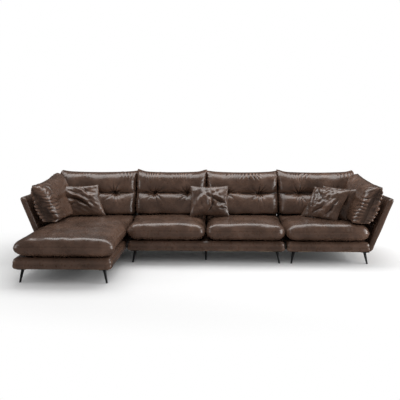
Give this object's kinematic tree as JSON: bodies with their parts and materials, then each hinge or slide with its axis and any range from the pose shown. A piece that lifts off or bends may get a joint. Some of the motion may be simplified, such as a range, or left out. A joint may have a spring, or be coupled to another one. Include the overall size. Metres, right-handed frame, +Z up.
{
  "type": "corner sofa",
  "caption": "Leather corner sofa with a chaise, built from joined modules with outward-slanting arms, loose crowned cushions and splayed steel legs.",
  "frame": {"origin": "on the floor, under the middle of the whole sofa", "axes": "+X along the row to the right of someone facing the sofa, -Y to the front where the sitters look, +Z up"},
  "size_m": [3.9916, 1.6776, 0.9146],
  "materials": {
    "cushion_leather": "satin",
    "frame_leather": "satin",
    "timber": "matte",
    "webbing": "matte",
    "dust_cloth": "matte",
    "glide_plastic": "matte",
    "black_steel": "satin"
  },
  "bodies": {
    "sofa_frame": {"arm_board_left": "timber", "arm_board_right": "timber", "arm_cover_left": "frame_leather", "arm_cover_right": "frame_leather", "back_board_chaise": "timber", "back_board_end": "timber", "back_board_middle": "timber", "back_cover_chaise": "frame_leather", "back_cover_end": "frame_leather", "back_cover_middle": "frame_leather", "base_cover_chaise": "frame_leather", "base_cover_end": "frame_leather", "base_cover_middle": "frame_leather", "base_frame_chaise": "timber", "base_frame_end": "timber", "base_frame_middle": "timber", "dust_cloth_chaise": "dust_cloth", "dust_cloth_end": "dust_cloth", "dust_cloth_middle": "dust_cloth", "glides_chaise": "glide_plastic", "glides_end": "glide_plastic", "glides_middle": "glide_plastic", "leg_chaise_front_left": "black_steel", "leg_chaise_front_right": "black_steel", "leg_chaise_rear_left": "black_steel", "leg_chaise_rear_right": "black_steel", "leg_end_front_left": "black_steel", "leg_end_front_right": "black_steel", "leg_end_rear_left": "black_steel", "leg_end_rear_right": "black_steel", "leg_middle_front_centre": "black_steel", "leg_middle_front_left": "black_steel", "leg_middle_front_right": "black_steel", "leg_middle_rear_centre": "black_steel", "leg_middle_rear_left": "black_steel", "leg_middle_rear_right": "black_steel", "module_connectors": "black_steel", "webbing_chaise": "webbing", "webbing_end": "webbing", "webbing_middle": "webbing"},
    "back_cushion_chaise": {"back_cushion_chaise": "cushion_leather"},
    "back_cushion_end": {"back_cushion_end": "cushion_leather"},
    "back_cushion_left": {"back_cushion_left": "cushion_leather"},
    "back_cushion_right": {"back_cushion_right": "cushion_leather"},
    "pillow_left": {"pillow_left": "cushion_leather"},
    "pillow_middle": {"pillow_middle": "cushion_leather"},
    "pillow_right_fore": {"pillow_right_fore": "cushion_leather"},
    "pillow_right_rear": {"pillow_right_rear": "cushion_leather"},
    "seat_cushion_chaise": {"seat_cushion_chaise": "cushion_leather"},
    "seat_cushion_end": {"seat_cushion_end": "cushion_leather"},
    "seat_cushion_left": {"seat_cushion_left": "cushion_leather"},
    "seat_cushion_right": {"seat_cushion_right": "cushion_leather"},
    "side_cushion_left": {"side_cushion_left": "cushion_leather"},
    "side_cushion_right": {"side_cushion_right": "cushion_leather"}
  },
  "joints": [
    {"name": "back_cushion_chaise_lift", "type": "slide", "parent": "sofa_frame", "child": "back_cushion_chaise", "axis": [0, 0.342, 0.9397], "range_m": [0, 0.55]},
    {"name": "back_cushion_end_lift", "type": "slide", "parent": "sofa_frame", "child": "back_cushion_end", "axis": [0, 0.342, 0.9397], "range_m": [0, 0.55]},
    {"name": "back_cushion_left_lift", "type": "slide", "parent": "sofa_frame", "child": "back_cushion_left", "axis": [0, 0.342, 0.9397], "range_m": [0, 0.55]},
    {"name": "back_cushion_right_lift", "type": "slide", "parent": "sofa_frame", "child": "back_cushion_right", "axis": [0, 0.342, 0.9397], "range_m": [0, 0.55]},
    {"name": "pillow_left_lift", "type": "slide", "parent": "seat_cushion_chaise", "child": "pillow_left", "axis": [0, 0, 1], "range_m": [0, 0.6]},
    {"name": "pillow_middle_lift", "type": "slide", "parent": "sofa_frame", "child": "pillow_middle", "axis": [0, 0, 1], "range_m": [0, 0.6]},
    {"name": "pillow_right_fore_lift", "type": "slide", "parent": "seat_cushion_end", "child": "pillow_right_fore", "axis": [0.2825, 0.2926, 0.9135], "range_m": [0, 0.6]},
    {"name": "pillow_right_rear_lift", "type": "slide", "parent": "seat_cushion_end", "child": "pillow_right_rear", "axis": [0.2825, 0.2926, 0.9135], "range_m": [0, 0.6]},
    {"name": "seat_cushion_chaise_pull", "type": "slide", "parent": "sofa_frame", "child": "seat_cushion_chaise", "axis": [0, -1, 0], "range_m": [0, 0.45]},
    {"name": "seat_cushion_end_pull", "type": "slide", "parent": "sofa_frame", "child": "seat_cushion_end", "axis": [0, -1, 0], "range_m": [0, 0.45]},
    {"name": "seat_cushion_left_pull", "type": "slide", "parent": "sofa_frame", "child": "seat_cushion_left", "axis": [0, -1, 0], "range_m": [0, 0.45]},
    {"name": "seat_cushion_right_pull", "type": "slide", "parent": "sofa_frame", "child": "seat_cushion_right", "axis": [0, -1, 0], "range_m": [0, 0.45]},
    {"name": "side_cushion_left_lift", "type": "slide", "parent": "sofa_frame", "child": "side_cushion_left", "axis": [-0.319, 0, 0.9478], "range_m": [0, 0.55]},
    {"name": "side_cushion_right_lift", "type": "slide", "parent": "sofa_frame", "child": "side_cushion_right", "axis": [0.319, 0, 0.9478], "range_m": [0, 0.55]}
  ]
}
